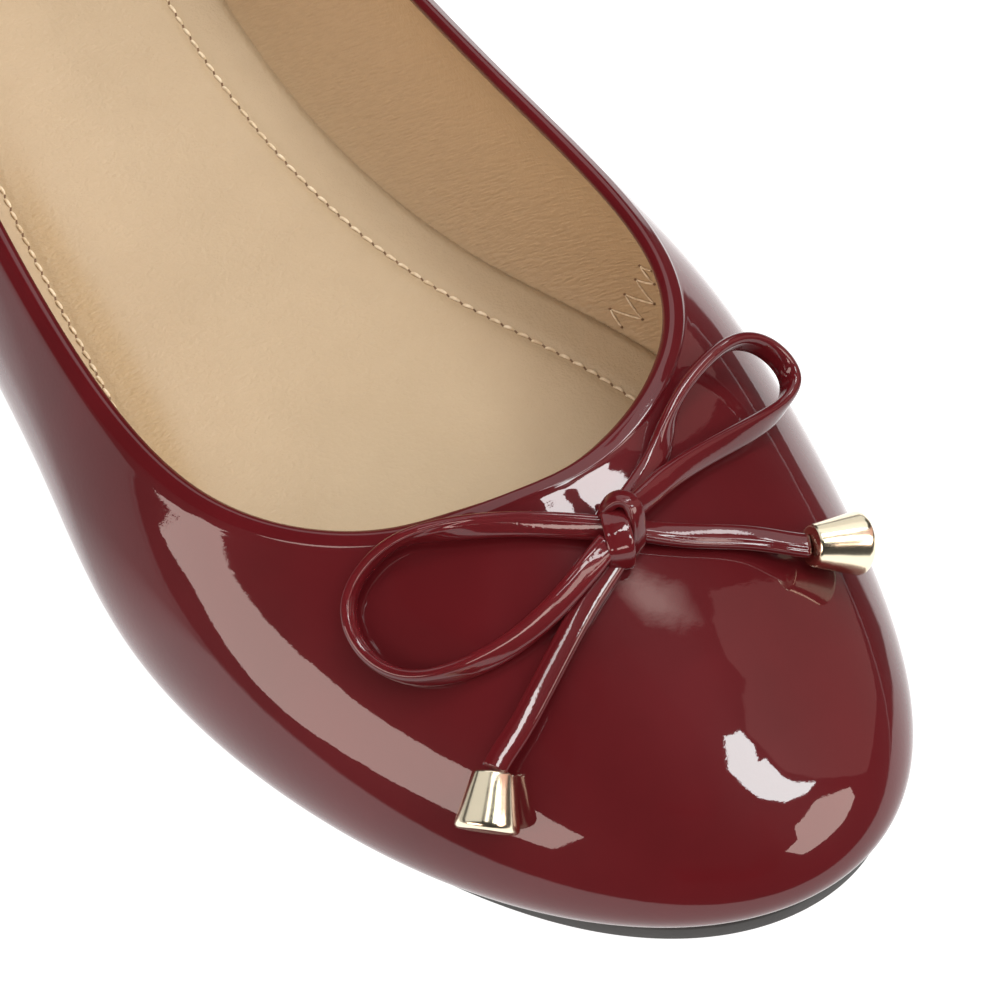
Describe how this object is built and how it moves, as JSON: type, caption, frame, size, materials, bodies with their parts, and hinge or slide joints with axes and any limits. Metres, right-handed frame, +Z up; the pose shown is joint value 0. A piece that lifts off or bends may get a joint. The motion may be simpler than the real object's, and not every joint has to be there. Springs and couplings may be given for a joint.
{
  "type": "ballet flat",
  "caption": "Right ballet flat with a round toe, rolled collar edge, low heel, padded insole and a small strap bow with metal ends on the vamp.",
  "frame": {"origin": "middle of the bounding box, on the floor the shoe stands on", "axes": "+Y from heel to toe, +Z up, inner (medial) side towards -X"},
  "size_m": [0.0836, 0.2494, 0.0575],
  "materials": {
    "burgundy_patent": "patent, high gloss, lined",
    "tan_leather": "smooth, matt",
    "black_sole": "matt",
    "pale_gold": "polished pale gold"
  },
  "bodies": {
    "root": {"outsole": "black_sole", "heel": "black_sole", "upper": "burgundy_patent", "topline_binding": "burgundy_patent", "insole": "tan_leather", "bow_knot": "burgundy_patent", "bow_loop_lateral": "burgundy_patent", "bow_loop_medial": "burgundy_patent", "bow_tail_lateral": "burgundy_patent", "bow_tail_medial": "burgundy_patent", "bow_tip_lateral": "pale_gold", "bow_tip_medial": "pale_gold"}
  },
  "joints": []
}
